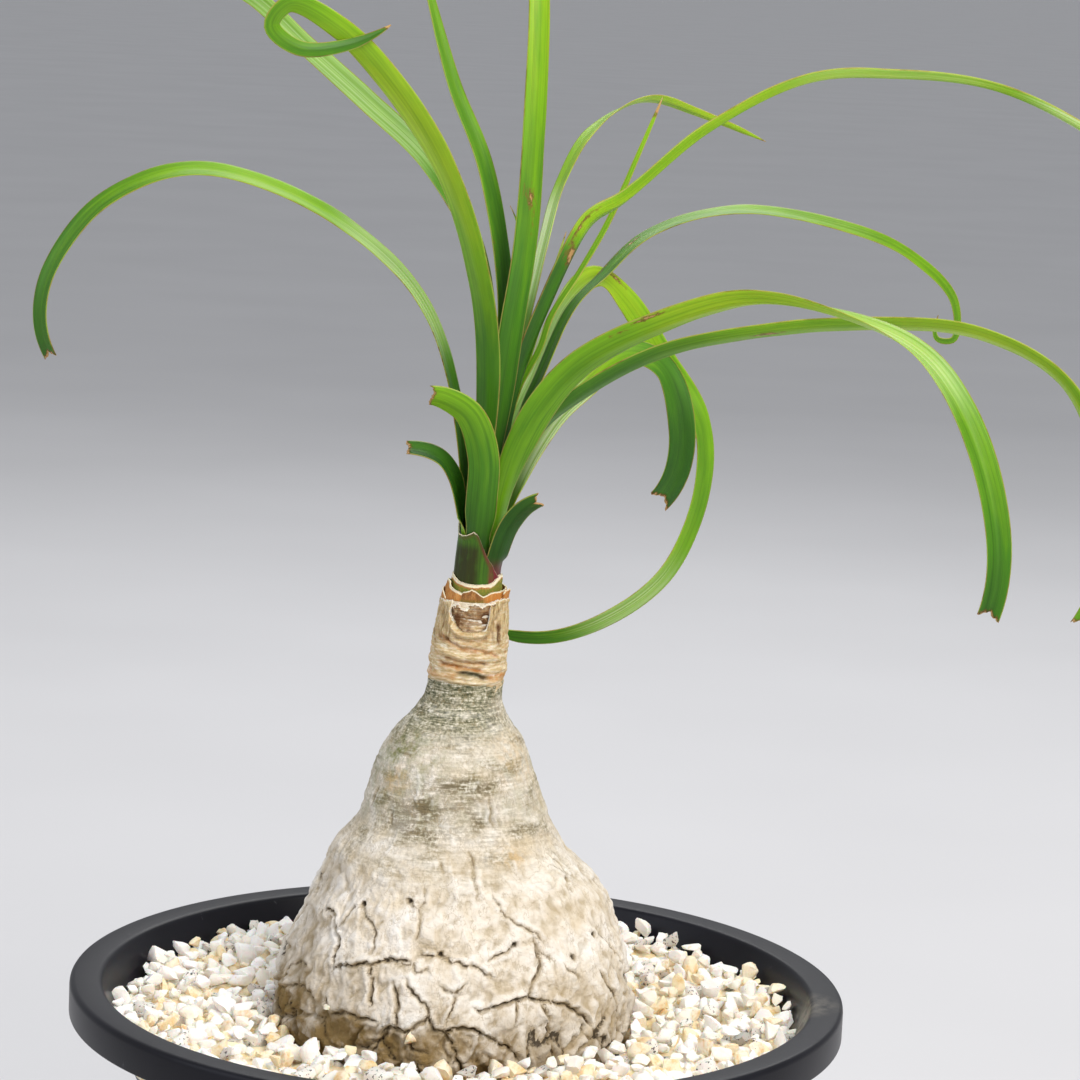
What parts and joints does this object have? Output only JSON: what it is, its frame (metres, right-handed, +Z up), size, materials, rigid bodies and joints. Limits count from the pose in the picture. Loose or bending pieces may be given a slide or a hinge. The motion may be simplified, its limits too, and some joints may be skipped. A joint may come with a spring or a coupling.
{
  "type": "potted ponytail palm",
  "caption": "Young beaucarnea (ponytail palm): a swollen corky foot with a tuft of arching strap leaves, standing in pale grit in a round dark plastic pot.",
  "frame": {"origin": "centre of the pot's underside, on the surface it stands on", "axes": "+Z up along the stem, -Y towards the front that the picture shows, +X to the right seen from the front"},
  "size_m": [0.3045, 0.2343, 0.4363],
  "materials": {
    "charcoal_plastic": "satin moulded polypropylene, faint scuffs",
    "potting_mix": "coarse, damp",
    "quartz_grit": "cream and white crushed quartz with ochre and black grains",
    "pale_bark": "corky, cracked into plates below, finely ringed above",
    "dry_sheath": "papery, fibrous, frayed",
    "leaf_green": "satin, finely veined along the blade",
    "sheath_green": "satin, bluish deep green"
  },
  "bodies": {
    "root": {"pot": "charcoal_plastic", "potting_mix": "potting_mix", "grit_bed": "quartz_grit", "swollen_stem": "pale_bark", "crown_bundle": "sheath_green", "sheath_lowest": "sheath_green", "dry_sleeve": "dry_sheath", "frayed_collar": "dry_sheath", "cream_ring": "dry_sheath", "leaf_left_arch": "leaf_green", "leaf_front_curl": "leaf_green", "leaf_left_rise": "leaf_green", "leaf_left_blade": "leaf_green", "leaf_upright": "leaf_green", "leaf_back_arch": "leaf_green", "leaf_thin_back": "leaf_green", "leaf_short_back": "leaf_green", "leaf_slip_behind": "leaf_green", "leaf_kinked": "leaf_green", "leaf_hooked_tip": "leaf_green", "leaf_right_low": "leaf_green", "leaf_right_wide": "leaf_green", "leaf_back_loop": "leaf_green", "leaf_right_droop": "leaf_green", "stub_front": "sheath_green", "stub_left": "sheath_green", "stub_right": "sheath_green"}
  },
  "joints": []
}
